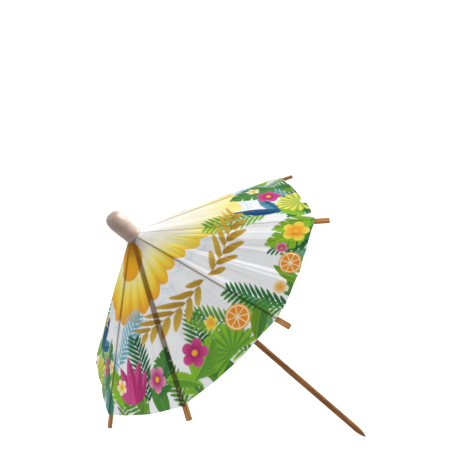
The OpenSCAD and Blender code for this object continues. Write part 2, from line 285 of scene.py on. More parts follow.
# %% Colours of the print
INK = {
    "paper": (249, 249, 249),
    "cream": (255, 250, 226),
    "lemon": (255, 238, 96),
    "yellow": (252, 205, 56),
    "amber": (242, 170, 52),
    "sun": (250, 190, 32),
    "sky": (186, 222, 236),
    "gold": (168, 126, 34),
    "foil": (228, 194, 84),
    "lime": (152, 204, 52),
    "olive": (122, 164, 38),
    "green": (84, 146, 60),
    "leaf": (56, 122, 66),
    "forest": (14, 88, 58),
    "teal": (96, 164, 178),
    "navy": (4, 74, 124),
    "pink": (226, 92, 158),
    "rose": (246, 168, 202),
    "magenta": (172, 34, 104),
    "orange": (243, 146, 34),
    "pith": (255, 244, 214),
    "white": (255, 255, 255),
}
INK = {name: np.array(rgb) / 255 for name, rgb in INK.items()}
EDGE = 0.10


def blend_ink(low, high, share):
    """Ink between two colours, share 0 to 1 for each point."""
    share = np.clip(share, 0, 1)[..., None]
    return INK[low] * (1 - share) + INK[high] * share


def cover(distance):
    """How much ink covers a point whose distance from the outline is negative inside, in mm."""
    return np.clip(0.5 - distance / EDGE, 0, 1)


# %% The flat sheet
NEAR_TURN = 1.5


class Sheet:
    """The flat paper: s and psi of each point, in mm and radians, and the ink laid on it so far."""

    def __init__(self, s, psi):
        self.s, self.psi = s, psi
        self.ink = np.tile(INK["paper"], (len(s), 1))

    def near(self, s, psi, heading, reach):
        """Points within reach of a place, with u along the heading and v across it, in mm;
        heading 0 points straight out to the rim."""
        turn = (self.psi - psi + FULL_TURN / 2) % FULL_TURN - FULL_TURN / 2
        out = self.s * np.cos(turn) - s
        over = self.s * np.sin(turn)
        inside = (np.abs(out) < reach) & (np.abs(over) < reach) & (np.abs(turn) < NEAR_TURN)
        chosen = np.flatnonzero(inside)
        out, over = out[chosen], over[chosen]
        u = out * math.cos(heading) + over * math.sin(heading)
        v = -out * math.sin(heading) + over * math.cos(heading)
        return chosen, u, v

    def around(self, place, radius):
        """Points in reach of a round motif, their distance from its middle and angle there."""
        chosen, u, v = self.near(*place, reach=radius * 1.1)
        return chosen, np.hypot(u, v), np.arctan2(v, u)

    def lay(self, chosen, colour, amount):
        """Ink, one for all or one each, laid over the chosen points by its amount, 0 to 1."""
        amount = amount[:, None]
        self.ink[chosen] = self.ink[chosen] * (1 - amount) + colour * amount


# %% Lance leaves
LEAF_VEINS = 9
VEIN_SLANT = 0.75
VEIN_LINE = 0.16
CUT_FROM = 0.35
CUT_OPEN = 0.5


def lance_leaf(sheet, place, length, width, inks, bend=0.0, cuts=0.0):
    """A long pointed leaf: half its width is a sine of the way along, its middle line bows by
    bend, side veins slant forward, and cuts opens narrow wedges between them from the edge."""
    chosen, u, v = sheet.near(*place, reach=length * 1.05)
    v = v - bend * (u / length) * (1 - u / length) * 4
    t = np.clip(u / length, 0.001, 0.999)
    half = width / 2 * np.sin(np.pi * t**0.8) ** 0.85
    outline = np.maximum.reduce([np.abs(v) - half, -u, u - length])
    across = np.abs(v) / np.maximum(half, 0.05)
    vein_step = length / LEAF_VEINS
    slanted = (u - VEIN_SLANT * np.abs(v)) / vein_step
    vein = np.abs(slanted - np.round(slanted)) * vein_step
    if cuts > 0:
        wedge = np.where(np.round(slanted) % 2 == 0, cuts * (across - CUT_FROM) - vein, -1)
        outline = np.where(across > CUT_FROM, np.maximum(outline, wedge), outline)
    colour = blend_ink(*inks, 0.25 + 0.5 * (v > 0) + 0.25 * across)
    colour = colour * (1 - 0.10 * np.clip(1 - vein / VEIN_LINE, 0, 1)[:, None])
    colour = colour + 0.16 * np.clip(1 - np.abs(v) / VEIN_LINE, 0, 1)[:, None]
    sheet.lay(chosen, np.clip(colour, 0, 1), cover(outline))


# %% Ferns
def fern(sheet, place, length, width, inks, bend=0.0, pitch=1.25, lean=0.95, fat=0.33):
    """A stem with leaflets: the leaflet nearest a point is found from how far along the stem its
    slanted line starts, and its outline is a thin sine round that line."""
    chosen, u, v = sheet.near(*place, reach=length * 1.08)
    v = v - bend * (u / length) ** 2
    side = np.sign(v)
    root = u - np.abs(v) / math.tan(lean)
    k = np.round(root / pitch + 0.25 * side) - 0.25 * side
    off = (root - k * pitch) * math.sin(lean)
    along = np.abs(v) / math.sin(lean)
    t = np.clip(k * pitch / length, 0, 1)
    long = np.maximum(width / 2 * np.sin(np.pi * (0.12 + 0.8 * t)) ** 0.7, 0.05)
    thick = pitch * fat * np.sin(np.pi * np.clip(along / long, 0, 1) ** 0.7) ** 0.6
    leaflet = np.maximum.reduce([np.abs(off) - thick, along - long, -k * pitch, k * pitch - length])
    stem = np.maximum.reduce([np.abs(v) - 0.13, -u, u - length])
    colour = blend_ink(*inks, 0.35 + 0.5 * along / long + 0.15 * side)
    sheet.lay(chosen, colour, cover(np.minimum(leaflet, stem)))


# %% Fan leaves
FAN_PLEATS = 17
FAN_SWEEP = 1.9


def fan_leaf(sheet, place, radius, inks):
    """A round pleated leaf: a disc cut to a sweep of angle, whose rim is toothed by a cosine and
    whose rays alternate between two inks, paler towards the rim."""
    chosen, r, a = sheet.around(place, radius)
    tooth = np.abs(np.cos(a * FAN_PLEATS / 2))
    rim = radius * (0.72 + 0.28 * tooth**0.5) * (1 - 0.10 * np.abs(a) / FAN_SWEEP)
    outline = np.maximum(r - rim, (np.abs(a) - FAN_SWEEP) * r)
    colour = blend_ink(*inks, 0.15 + 0.55 * tooth + 0.3 * r / radius)
    sheet.lay(chosen, colour, cover(outline))


# %% Flowers and fruit
PETALS = 5
PETAL_TURN = 0.36


def blossom(sheet, place, radius, inks, heart):
    """Round petals: the rim's radius is a power of the cosine of half the petal angle, the ink
    goes from dark at the heart to light at the rim, with fine rays, and the heart is a disc."""
    chosen, r, a = sheet.around(place, radius)
    lobe = np.abs(np.cos(a * PETALS / 2))
    rim = radius * (0.55 + 0.45 * lobe**0.55)
    rays = 0.08 * np.cos(a * PETALS * 5) * (r / radius)
    colour = blend_ink(*inks, r / radius * 1.15 - 0.1 + rays)
    seam = np.clip(1 - lobe / 0.2, 0, 1) * (r > 0.25 * radius)
    colour = colour * (1 - 0.16 * seam[:, None])
    sheet.lay(chosen, np.clip(colour, 0, 1), cover(r - rim))
    sheet.lay(chosen, blend_ink(*heart, r / (0.24 * radius)), cover(r - 0.22 * radius))


def petal_fan(sheet, place, length, inks):
    """A cup of long petals that share one root: lance shapes turned by even steps, the outer
    ones laid first."""
    s, psi, heading = place
    steps = sorted(np.arange(PETALS) - (PETALS - 1) / 2, key=lambda step: -abs(step))
    for step in steps:
        turn = step * PETAL_TURN
        size = length * (1 - 0.10 * abs(step))
        lance_leaf(sheet, (s, psi, heading + turn), size, length * 0.30, inks, bend=0.5 * turn)


def citrus(sheet, place, radius):
    """A slice: rind, a ring of pith, and eight wedges of flesh parted by lines of pith."""
    chosen, r, a = sheet.around(place, radius)
    line = np.abs(np.sin(4 * a)) * r / 4
    wedge = np.maximum.reduce([r - 0.80 * radius, 0.10 * radius - r, 0.11 - line])
    glow = 0.5 + 0.5 * np.cos(23 * a) * np.cos(3.1 * r)
    sheet.lay(chosen, INK["amber"], cover(r - radius))
    sheet.lay(chosen, INK["pith"], cover(r - 0.90 * radius))
    sheet.lay(chosen, blend_ink("orange", "yellow", 0.30 * glow), cover(wedge))


# %% Sunburst
SUN_REACH = (29, 25, 20, 19, 21, 18, 14.5, 21)
SUN_WARMTH = (0.60, 0.85, 1.00, 0.95, 1.00, 1.00, 0.88, 0.72)
SCALLOPS = 3 * RIBS
DISC_AT = (6.8, 4.22 * 2 * half_gore, 0.0)
DISC_RADIUS = 4.6
# Inks of the sunburst with the tones between which each comes in, and its outer lines
SUN_TONES = (("lemon", 0.36, 0.78), ("yellow", 0.60, 0.94), ("amber", 0.78, 1.04))
SKY_LINES = ((1.3, 0.7), (2.2, 0.35))


def round_the_turn(values, turn):
    """A soft curve round the turn through one value per rib: their first three waves."""
    wave = np.fft.rfft(values) / RIBS
    waves = (wave[k].real * np.cos(k * turn) - wave[k].imag * np.sin(k * turn) for k in (1, 2, 3))
    return wave[0].real + 2 * sum(waves)


def sunburst(sheet):
    """Warm ink inside a scalloped edge: near white at the crown, yellow, then amber at the edge,
    with soft rays and one plain disc, and thin pale blue lines that follow outside. SUN_REACH is
    how far down the slant the zone goes over each rib, and SUN_WARMTH how far its tones go."""
    turn = sheet.psi / FULL_TURN * 2 * math.pi
    reach = round_the_turn(SUN_REACH, turn)
    scallop = np.abs(np.sin(turn * SCALLOPS / 2))
    edge = reach + 1.7 * scallop**0.7 - 0.8
    t = sheet.s / edge
    rays = 0.025 * np.cos(turn * RIBS * 3) + 0.015 * np.cos(turn * RIBS * 10 + 1.3)
    tone = t * round_the_turn(SUN_WARMTH, turn) + rays
    warm = blend_ink("white", "cream", smooth_step(tone, 0.12, 0.40))
    for name, low, high in SUN_TONES:
        warm = warm + (INK[name] - warm) * smooth_step(tone, low, high)[:, None]
    everywhere = np.arange(len(sheet.s))
    sheet.lay(everywhere, warm, cover(sheet.s - edge))
    chosen, r, _ = sheet.around(DISC_AT, DISC_RADIUS)
    sheet.lay(chosen, blend_ink("sun", "amber", 0.6 * r / DISC_RADIUS), cover(r - DISC_RADIUS))
    for gap, weight in SKY_LINES:
        line = np.abs(sheet.s - (edge + gap + 0.3 * scallop)) - 0.13
        sheet.lay(everywhere, INK["sky"], weight * cover(line))


# %% Wreath
def laurel(sheet, s, psi, length, side):
    """A gold spray that follows the circle at s: a fern with few broad leaves whose stem bends
    by the sagitta of that circle, so that two sprays from one root make an open wreath."""
    bend = side * length**2 / (2 * s)
    fern(sheet, (s, psi, side * math.pi / 2), length, 13.0, ("gold", "foil"), bend, 3.1, 0.80, 0.27)


# %% [markdown]
# ## The border, bouquet by bouquet
# Each gore carries one bouquet near its rim, and four kinds of bouquet alternate round the
# shade. A bouquet is a short list of motifs with places in shares of the gore, so it can be
# read and changed like a planting plan; a seeded jitter keeps two gores from being twins.

# %% Four bouquets
# Each row: motif, share across the gore, distance down the slant, heading in degrees, size, inks
BOUQUETS = [
    [
        ("fern", -0.75, 31, 150, 14, ("teal", "sky")),
        ("fern", 0.15, 40, 175, 15, ("forest", "leaf")),
        ("lance", -0.55, 41, 215, 13, ("olive", "lime")),
        ("split", 0.45, 40, 160, 12, ("leaf", "green")),
        ("lance", 0.80, 36, 70, 10, ("green", "lime")),
        ("cup", -0.18, 39, 190, 11, ("magenta", "pink")),
        ("blossom", 0.50, 35.5, 0, 3.1, ("magenta", "rose")),
        ("small", -0.62, 36.5, 0, 1.9, ("yellow", "white")),
    ],
    [
        ("fern", -0.40, 40, 165, 14, ("forest", "green")),
        ("fern", 0.60, 38, 205, 13, ("leaf", "lime")),
        ("split", -0.22, 43, 172, 10, ("forest", "green")),
        ("fan", 0.16, 40, 180, 7.0, ("leaf", "lime")),
        ("split", -0.70, 39, 130, 11, ("green", "lime")),
        ("lance", 0.55, 42, 120, 11, ("leaf", "olive")),
        ("blossom", -0.42, 34.5, 0, 3.3, ("magenta", "pink")),
        ("citrus", 0.62, 36, 0, 3.0, None),
        ("small", 0.20, 31.5, 0, 1.7, ("amber", "lemon")),
    ],
    [
        ("fern", -0.66, 43, 200, 14, ("forest", "green")),
        ("fern", 0.45, 43, 190, 9, ("forest", "leaf")),
        ("split", 0.84, 42, 205, 11, ("olive", "lime")),
        ("lance", -0.30, 43, 165, 8, ("green", "olive")),
        ("blossom", 0.72, 38.5, 0, 3.2, ("orange", "lemon")),
        ("citrus", 0.05, 39.0, 0, 2.6, None),
        ("small", -0.50, 39.5, 0, 2.0, ("amber", "white")),
        ("small", 0.36, 36.5, 0, 1.5, ("magenta", "rose")),
    ],
    [
        ("fern", -0.65, 33, 185, 15, ("green", "lime")),
        ("fern", 0.20, 39, 140, 14, ("teal", "sky")),
        ("split", 0.55, 39, 185, 13, ("leaf", "green")),
        ("lance", -0.80, 41, 150, 11, ("olive", "lime")),
        ("split", -0.90, 43, 195, 10, ("olive", "lime")),
        ("navy", -0.62, 35, 120, 11, ("navy", "teal")),
        ("navy", -0.55, 36, 165, 12, ("navy", "navy")),
        ("blossom", 0.30, 34.5, 0, 3.0, ("magenta", "pink")),
        ("fan", -0.25, 41, 180, 6.0, ("green", "lemon")),
        ("small", 0.80, 33, 0, 1.8, ("yellow", "white")),
    ],
]
print("motifs in each bouquet:", [len(bouquet) for bouquet in BOUQUETS])

# %% Planting one motif
LEAF_WIDTHS = {"lance": 0.34, "navy": 0.30, "split": 0.62}
HEARTS = {"blossom": ("yellow", "amber"), "small": ("orange", "yellow")}


def plant(sheet, row, gore, draw):
    """Lays one motif of a bouquet, its place jittered a little."""
    kind, across, down, degrees, size, inks = row
    psi = (gore + 0.5 + across / 2 + draw.uniform(-0.02, 0.02)) * 2 * half_gore
    down = down + draw.uniform(-0.6, 0.6)
    heading = math.radians(degrees + draw.uniform(-9, 9))
    place = (down, psi, heading)
    bend = draw.uniform(-0.9, 0.9)
    if kind == "fern":
        fern(sheet, place, size, size * 0.62, inks, bend=2 * bend)
    elif kind in LEAF_WIDTHS:
        cuts = CUT_OPEN * (kind == "split")
        lance_leaf(sheet, place, size, size * LEAF_WIDTHS[kind], inks, bend, cuts)
    elif kind == "fan":
        fan_leaf(sheet, place, size, inks)
    elif kind == "cup":
        petal_fan(sheet, place, size, inks)
    elif kind == "citrus":
        citrus(sheet, place, size)
    else:
        blossom(sheet, place, size, inks, HEARTS[kind])


# %% The whole print
PRINT_SEED = 5
RIM_LEAVES = 44
ON_TOP = ("cup", "citrus", "blossom", "small")
# Where each wreath's two sprays start, in gores round and mm down the slant, and their length
WREATHS = ((6.0, 23.5), (2.0, 27.0))
SPRAY_LENGTH = 19.0


def paint(s, psi):
    """The whole print over points of the flat paper, and their ink as red, green and blue."""
    sheet = Sheet(s / MM, psi)
    draw = np.random.default_rng(PRINT_SEED)
    sunburst(sheet)
    greens = ("forest", "leaf", "green", "olive", "lime", "teal")
    for k in range(RIM_LEAVES):
        psi_k = (k + draw.uniform(0.2, 0.8)) / RIM_LEAVES * FULL_TURN
        low, high = draw.integers(0, len(greens), 2)
        place = (slant / MM + 1, psi_k, math.radians(180 + draw.uniform(-50, 50)))
        inks = (greens[low], greens[high])
        short = 0.6 if psi_k // (2 * half_gore) == SHARP_GORE else 1.0
        if k % 2:
            fern(sheet, place, short * draw.uniform(10, 15), 7.5, inks, bend=1.5)
        else:
            length, width = short * draw.uniform(9, 14), draw.uniform(4, 7)
            lance_leaf(sheet, place, length, width, inks, cuts=CUT_OPEN * (k % 4 == 0))
    planting = [(row, gore) for gore in range(RIBS) for row in BOUQUETS[gore % len(BOUQUETS)]]
    for row, gore in sorted(planting, key=lambda one: one[0][0] in ON_TOP):
        plant(sheet, row, gore, draw)
    for gores, s_root in WREATHS:
        for side in (1, -1):
            laurel(sheet, s_root, gores * 2 * half_gore + side * 0.03, SPRAY_LENGTH, side)
    return sheet.ink


# %% [markdown]
# ## Wood and shade that show through
# The paper is thin and glued to the ribs and the crown, so each rib shows as a brown-grey stripe
# of painted shadow, and the crown as a patch of painted shade round the knob where the paper is
# gathered. How plainly each shows follows how the light falls on that side of the shade, so each
# rib has its own share and width. Old creases hold a trace of painted shade too. The mark is a
# second attribute, so that the shader can tint any ink.

# %% Stripe over each rib
STRIPE_SOFT = 0.16 * MM
# How plainly the painted shadow of each rib shows through the paper, by how the light falls there
STRIPE_SHADE_SHARES = (0.45, 0.55, 0.50, 0.60, 0.75, 0.95, 0.80, 0.45)
STRIPE_HALVES = np.array((0.45, 0.60, 0.55, 0.60, 0.50, 0.72, 0.22, 0.18)) * MM
# Painted shade round the knob over each rib: the knob's and crown's shadow seen through the paper,
# none where the key lamp lights the gores
CROWN_SHADE_SHARES = (0.00, 0.50, 0.60, 0.65, 0.80, 0.85, 0.30, 0.00)
CROWN_SHADE_TO = (2.6 * MM, 8.5 * MM)
# Share of painted shade along old creases and between the gathers
CREASE_SHADE_SHARE = 0.13


def rib_shade_stripe(rib, side, s, angle):
    """Painted shadow of the rib seen through the paper: 1 over the rib's width and 0 beyond a soft
    edge, by how plainly that rib shows in this light, or the painted shade round the knob where
    that is darker, which turns from one rib's share to the next; a share of the painted crease
    shade fills what is left."""
    half = STRIPE_HALVES[rib]
    beyond = smooth_step(s * np.sin(angle), half - STRIPE_SOFT, half + STRIPE_SOFT)
    line = STRIPE_SHADE_SHARES[rib] * (1 - beyond)
    middle = (CROWN_SHADE_SHARES[rib] + CROWN_SHADE_SHARES[(rib + side) % RIBS]) / 2
    crown = CROWN_SHADE_SHARES[rib] + (middle - CROWN_SHADE_SHARES[rib]) * angle / half_gore
    # Painted shadow of the rib, or painted shade round the knob where that is darker
    wood = np.maximum(line, crown * (1 - smooth_step(s, *CROWN_SHADE_TO)))
    gore, g = gore_place(rib, side, angle)
    return wood + (1 - wood) * CREASE_SHADE_SHARE * crease_shade(gore, s, g)


# %% [markdown]
# ## Sixteen halves and a centre
# The shade is one disc of paper on the real thing. It is cut here along its fold lines only,
# because each half turns with its own body, and the cuts are exact, so at rest it reads as one
# sheet. Its rim is cut flatter than an arc between the ribs. A thin shell with its own back lets
# the print show faintly from below.

# %% Print, rim and thickness
PAPER_THICK = 0.09 * MM
RIM_FLAT = 0.6
BACK_SLOT = 1


def to_linear(rgb):
    """Screen colour to the linear colour that the renderer mixes."""
    return np.where(rgb <= 0.04045, rgb / 12.92, ((rgb + 0.055) / 1.055) ** 2.4)


def rim_reach(psi):
    """Length of the slant at the cut edge: between ribs it lies between an arc and a straight
    line from rib to rib, and is a hair uneven as a punched sheet is."""
    turn = psi / FULL_TURN * 2 * math.pi
    from_rib = np.abs((psi + half_gore) % (2 * half_gore) - half_gore)
    straight = slant * math.cos(half_gore) / np.cos(half_gore - from_rib)
    reach = slant + RIM_FLAT * (straight - slant)
    return reach + 0.05 * MM * np.sin(9 * turn + 0.6) + 0.03 * MM * np.sin(23 * turn)


def finish_paper(piece, ink, stripe):
    """Puts print and painted shade on the piece's points and gives the sheet its thickness."""
    mesh = piece.data
    colour = mesh.color_attributes.new("print", "FLOAT_COLOR", "POINT")
    rgba = np.concatenate([to_linear(ink), np.ones((len(ink), 1))], axis=1)
    colour.data.foreach_set("color", rgba.astype(np.float32).ravel())
    mark = mesh.attributes.new("stripe", "FLOAT", "POINT")
    mark.data.foreach_set("value", stripe.astype(np.float32).ravel())
    shell = piece.modifiers.new("paper", "SOLIDIFY")
    shell.thickness = PAPER_THICK
    shell.offset = 0
    shell.material_offset = BACK_SLOT
    shell.material_offset_rim = 0


def half_gore_grid(rib, side, columns, rows, inner, outer=None):
    """Slant, angle and psi over a half gore, as grids of even steps, down to the cut rim or to a
    slant given as outer."""
    angle = np.linspace(0, half_gore, columns)[None, :].repeat(rows, 0)
    psi = (2 * rib * half_gore + side * angle) % FULL_TURN
    reach = rim_reach(psi) if outer is None else np.full_like(psi, outer)
    s = inner + (reach - inner) * np.linspace(0, 1, rows)[:, None]
    return s, angle, psi


# %% Build the shade
ACROSS = 96
DOWN = 250
LABEL = {1: "left", -1: "right"}
halves = []
for rib in range(RIBS):
    for side in LABEL:
        s, angle, psi = half_gore_grid(rib, side, ACROSS, DOWN, NECK)
        flat = np.stack([s * np.cos(angle), s * np.sin(angle) * side], axis=-1)
        points = gore_points(rib, side, s, angle)
        name = f"paper_{LABEL[side]}_{rib + 1}"
        piece = grid_piece(name, points, flip=side > 0, uv=flat / (2 * slant) + 0.5)
        halves.append((piece, rib, side, s, angle, psi))

pieces, _, _, all_s, _, all_psi = zip(*halves)
all_ink = paint(np.ravel(all_s), np.ravel(all_psi)).reshape(len(halves), -1, 3)
for ink, (piece, rib, side, s, angle, psi) in zip(all_ink, halves):
    finish_paper(piece, ink, rib_shade_stripe(rib, side, s, angle).ravel())
print(len(halves), "halves with", all_ink.size // 3, "points")

# %% The glued centre
CENTRE_IN = 0.95 * MM
CENTRE_ROWS = 12
CENTRE_COLUMNS = 14
centre_parts = []
for rib in range(RIBS):
    for side in (-1, 1):
        s, angle, psi = half_gore_grid(rib, side, CENTRE_COLUMNS, CENTRE_ROWS, CENTRE_IN, NECK)
        order = slice(None, 0, -1) if side < 0 else slice(None, -1)
        grids = (gore_points(rib, side, s, angle), s, psi, rib_shade_stripe(rib, side, s, angle))
        centre_parts.append([a[:, order] for a in grids])
points, s, psi, stripe = (np.concatenate(part, axis=1) for part in zip(*centre_parts))
centre = grid_piece("paper_centre", points, closed=True, flip=True)
finish_paper(centre, paint(s.ravel(), psi.ravel()), stripe.ravel())
print("the centre with", stripe.size, "points")


# %% [markdown]
# ## Materials from a few nodes
# Every finish is worked out from position, so nothing depends on a picture file. Positions are
# in metres and the detail is a fraction of a millimetre, so each pattern first scales them up.


# %% Node helpers
WHITE = (1.0, 1.0, 1.0)


def feed(tree, node, values):
    """Gives inputs of a node their values, each a plain value or a socket to link from."""
    for key, value in values.items():
        if isinstance(value, bpy.types.NodeSocket):
            tree.links.new(value, node.inputs[key])
        else:
            node.inputs[key].default_value = value


def add(tree, kind, values=None, **settings):
    """A node of that kind, with its settings and what its inputs take."""
    node = tree.nodes.new(kind)
    for key, value in settings.items():
        setattr(node, key, value)
    feed(tree, node, values or {})
    return node


def new_material(name, plain=None):
    """A material with one Principled shader, whose plain values are set by name."""
    material = bpy.data.materials.new(name)
    material.use_nodes = True
    tree = material.node_tree
    shader = tree.nodes["Principled BSDF"]
    feed(tree, shader, plain or {})
    return material, tree, shader


# %% Colours, positions and noise
def mix_colour(tree, share, low, high, blend="MIX"):
    """A colour between two, each a socket or plain red, green and blue; share too."""
    low, high = (c if isinstance(c, bpy.types.NodeSocket) else (*c, 1) for c in (low, high))
    values = {0: share, 6: low, 7: high}
    return add(tree, "ShaderNodeMix", values, data_type="RGBA", blend_type=blend).outputs[2]


def position(tree, size, turn=(0, 0, 0)):
    """Object coordinates turned back by an angle, then scaled so that 1 is a millimetre / size;
    size is one number, or one for each axis."""
    size = size if isinstance(size, tuple) else (size, size, size)
    where = add(tree, "ShaderNodeTexCoord").outputs["Object"]
    turned = {"Vector": where, "Rotation": turn}
    place = add(tree, "ShaderNodeMapping", turned, vector_type="TEXTURE").outputs[0]
    scaled = {"Vector": place, "Scale": tuple(s / MM for s in size)}
    return add(tree, "ShaderNodeMapping", scaled).outputs[0]


def noise(tree, vector, detail, rough, scale=1.0):
    """Soft noise over a vector."""
    values = {"Vector": vector, "Scale": scale, "Detail": detail, "Roughness": rough}
    return add(tree, "ShaderNodeTexNoise", values).outputs[0]


# %% Ramps, coats and relief
def ramp(tree, value, stops):
    """A colour ramp over a value: stops are (place, red, green, blue)."""
    node = add(tree, "ShaderNodeValToRGB", {0: value})
    elements = node.color_ramp.elements
    while len(elements) < len(stops):
        elements.new(0.5)
    for element, (place, *rgb) in zip(elements, stops):
        element.position = place
        element.color = (*rgb, 1)
    return node.outputs[0]


def dapple(tree, colour, value, stops):
    """The colour multiplied by a ramp over a value, which spots or fades it."""
    return mix_colour(tree, 1.0, colour, ramp(tree, value, stops), "MULTIPLY")


def coat(tree, shader, colour, value, at_low, at_high):
    """Gives the shader its colour, and a roughness that goes from one number to another where
    the noise goes from 0.3 to 0.7."""
    rough = add(tree, "ShaderNodeMapRange", {0: value, 1: 0.3, 2: 0.7, 3: at_low, 4: at_high})
    feed(tree, shader, {"Roughness": rough.outputs[0], "Base Color": colour})


def bump(tree, shader, height, strength, distance):
    """Relief from a height: distance is how deep white is above black, in metres."""
    values = {"Height": height, "Strength": strength, "Distance": distance}
    feed(tree, shader, {"Normal": add(tree, "ShaderNodeBump", values).outputs[0]})


def srgb(red, green, blue):
    """Linear colour from the screen values of a paint."""
    return tuple(float(c) for c in to_linear(np.array((red, green, blue)) / 255))


# %% [markdown]
# ## Paper
# Printed tissue-weight paper is matt with a slight smoothness in the ink, shows long soft
# fibres, and lets some light through. The print comes from the points' attribute, the stripe of
# painted shade over the ribs, round the knob and along the creases multiplies it, and a share of
# translucent light makes the back glow. The underside is unprinted: the same ink seen through
# the sheet, so it is paler.


# %% Front and back of the paper
UNPRINTED = (238, 240, 238)
# Colour of the painted shade: the ribs' and crown's shadow seen through the paper
WOOD_SHADE_TINT = (150, 132, 116)


def paper_finish(name, wash, glow):
    """Paper whose print is washed out by a share, with a share of light let through."""
    material, tree, shader = new_material(name, {"Specular IOR Level": 0.12})
    print_node = add(tree, "ShaderNodeVertexColor", layer_name="print")
    stripe = add(tree, "ShaderNodeAttribute", attribute_name="stripe")
    fibres = noise(tree, position(tree, 2.2), 5.0, 0.65)
    cloud = noise(tree, position(tree, 0.22), 2.0, 0.5)
    ink = mix_colour(tree, wash, print_node.outputs[0], srgb(*UNPRINTED))
    ink = dapple(tree, ink, fibres, ((0.25, 0.95, 0.95, 0.95), (0.75, *WHITE)))
    ink = dapple(tree, ink, cloud, ((0.3, 0.95, 0.955, 0.96), (0.7, *WHITE)))
    # The stripe attribute multiplies in painted shade: the ribs' shadow, the shade round the knob
    # and in the creases
    wood = mix_colour(tree, stripe.outputs["Fac"], WHITE, srgb(*WOOD_SHADE_TINT))
    ink = mix_colour(tree, 1.0, ink, wood, "MULTIPLY")
    coat(tree, shader, ink, fibres, 0.52, 0.68)
    bump(tree, shader, fibres, 0.30, 0.02 * MM)
    through = add(tree, "ShaderNodeBsdfTranslucent", {"Color": ink})
    both = add(tree, "ShaderNodeMixShader", {0: glow, 1: shader.outputs[0], 2: through.outputs[0]})
    feed(tree, tree.nodes["Material Output"], {"Surface": both.outputs[0]})
    return material


paper_front = paper_finish("printed_paper", 0.0, 0.22)
paper_back = paper_finish("paper_back", 0.62, 0.22)
for piece in (*pieces, centre):
    piece.data.materials.append(paper_front)
    piece.data.materials.append(paper_back)
print("printed paper on", len(pieces) + 1, "pieces")

# %% The paper rides on its bodies
for piece, rib, side, *_ in halves:
    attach(piece, f"gore_body_{LABEL[side]}_{rib + 1}")
    covered = [f"gore_{LABEL[side]}_{rib + 1}"] + ([f"crease_{rib + 1}"] if side > 0 else [])
    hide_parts(*covered)
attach(centre, "stem")
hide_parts("canopy_collar")


# %% [markdown]
# ## Split wood
# Ribs, struts and the pick are split from bamboo-like wood: long straight fibres, darker pores
# drawn out along the grain, and a stain that is patchy, darker and paler in places. The fibres
# must follow each stick, so the coordinates are first turned back by that stick's own lean and
# azimuth.


# %% Wood finish
# Light, middle and dark tone of each kind of stick
BROWNS = {
    "rib": ((214, 160, 92), (174, 120, 60), (118, 76, 34)),
    "strut": ((190, 128, 70), (150, 92, 44), (102, 60, 28)),
    "turned": ((226, 190, 140), (204, 160, 108), (168, 122, 76)),
    "pick": ((178, 118, 50), (140, 88, 34), (90, 54, 20)),
}
# Scale along and across the stick, detail and roughness of the noises
FIBRES = (0.16, 3.4, 4.0, 0.6)
PORES = (0.5, 11.0, 2.0, 0.5)
PATCHES = (0.12, 0.12, 2.0, 0.5)


def wood_finish(name, kind, lean=None, scale=1.0, rough=0.5):
    """Fibres are noise drawn out twentyfold along the stick; pores are a finer, sharper noise. A
    stick that leans has its X turned along it, one that doesn't runs along Z."""
    material, tree, shader = new_material(name, {"Specular IOR Level": 0.25})
    light, mid, dark = (srgb(*rgb) for rgb in BROWNS[kind])

    def grain(along, across, detail, sharp):
        size = (across, across, along) if lean is None else (along, across, across)
        return noise(tree, position(tree, size, lean or (0, 0, 0)), detail, sharp, scale)

    fibre, pore, patch = grain(*FIBRES), grain(*PORES), grain(*PATCHES)
    colour = ramp(tree, fibre, ((0.30, *dark), (0.50, *mid), (0.72, *light)))
    colour = dapple(tree, colour, pore, ((0.34, 0.62, 0.56, 0.52), (0.46, *WHITE)))
    colour = dapple(tree, colour, patch, ((0.35, 0.84, 0.82, 0.80), (0.65, 1.06, 1.03, 1.0)))
    coat(tree, shader, colour, fibre, rough + 0.12, rough - 0.05)
    bump(tree, shader, fibre, 0.5, 0.05 * MM)
    return material


# %% Wood on the ribs, struts and hubs
def dress(node, material):
    """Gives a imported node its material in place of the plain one."""
    mesh = nodes[node].data
    mesh.materials.clear()
    mesh.materials.append(material)


RIB_LEAN = math.asin(-rib_way[0][2])
for i in range(RIBS):
    for kind, lean in (("rib", RIB_LEAN), ("strut", -RIB_LEAN)):
        finish = wood_finish(f"{kind}_wood_{i + 1}", kind, (0, lean, i * SPAN), 1.0 + 0.03 * i)
        dress(f"{kind}_{i + 1}", finish)

turned = wood_finish("turned_wood", "turned", rough=0.55)
for name in ("crown", "runner"):
    dress(name, turned)
print("wood on", 2 * RIBS, "split sticks and two hubs")

# %% [markdown]
# ## The pick
# A turned stick is never quite round: the fibres leave shallow flutes, and the point is cut by
# a few strokes of a sharpener. A revolved profile is carried round with a little unevenness that
# depends on angle and height, so that the highlight breaks up along its length.

# %% Stick and point
STICK_COLUMNS = 40
STICK_ROWS = 420
TIP_ROWS = 60
TIP_LENGTH = 6 * MM
SAME_HEIGHT = 1.1e-6
FLUTE_DEPTH = 0.030
GROOVE_DEPTH = 0.055
GROOVE_AT = 4.1
GROOVE_WIDTH = 0.16
low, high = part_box("pick")
stick_x, stick_y, stick_z = node_points("pick").T
stick_r = np.hypot(stick_x, stick_y)
rings = np.unique(np.round(stick_z, 7))
ring_r = np.array([stick_r[np.abs(stick_z - z) < SAME_HEIGHT].max() for z in rings])


